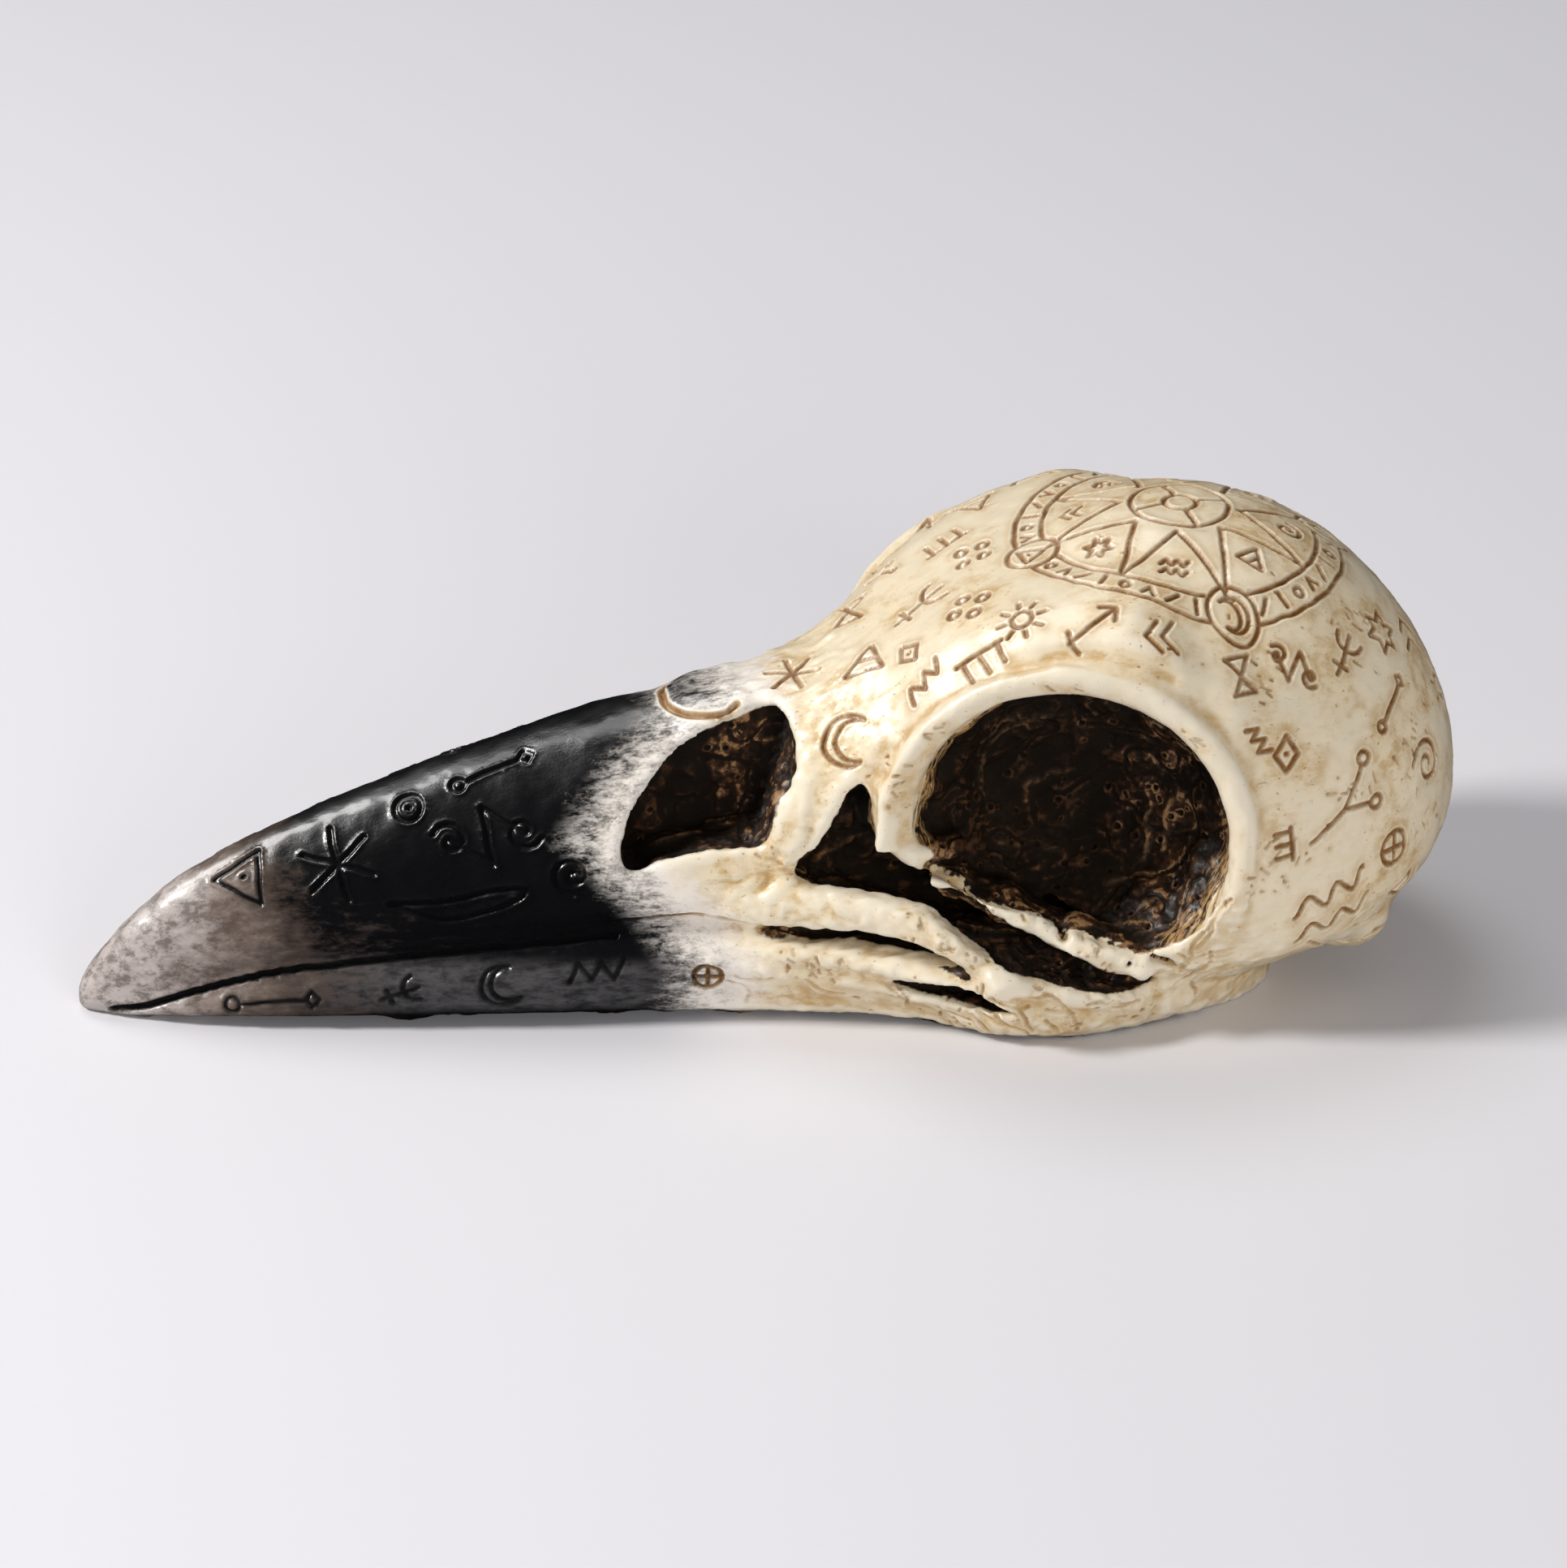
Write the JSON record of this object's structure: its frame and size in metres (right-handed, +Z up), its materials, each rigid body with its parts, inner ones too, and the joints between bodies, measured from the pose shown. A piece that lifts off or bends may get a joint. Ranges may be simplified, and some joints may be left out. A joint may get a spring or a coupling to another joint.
{
  "type": "cast-resin raven skull ornament",
  "caption": "Raven skull ornament of painted cast resin: ivory bone with engraved marks, black horn beak, dark eye sockets and nostrils, lower jaw closed, on a flat underside.",
  "frame": {"origin": "on the floor, below the middle of the skull's length and width", "axes": "+X from the beak towards the back of the skull, +Y towards the bird's right side, +Z up"},
  "size_m": [0.21, 0.077, 0.0733],
  "materials": {
    "bone": "ivory resin with brown wash rubbed into its marks, semi-gloss varnish",
    "horn": "black resin with grey-brown dry brushing at the tip, gloss varnish"
  },
  "bodies": {
    "root": {"upper_beak": "horn", "lower_beak": "horn", "nasal_bone": "bone", "forehead": "bone", "braincase": "bone", "skull_base": "bone", "eye_rim_left": "bone", "cheek_bar_left": "bone", "jaw_left": "bone", "jaw_joint_left": "bone", "eye_rim_right": "bone", "cheek_bar_right": "bone", "jaw_right": "bone", "jaw_joint_right": "bone"}
  },
  "joints": []
}
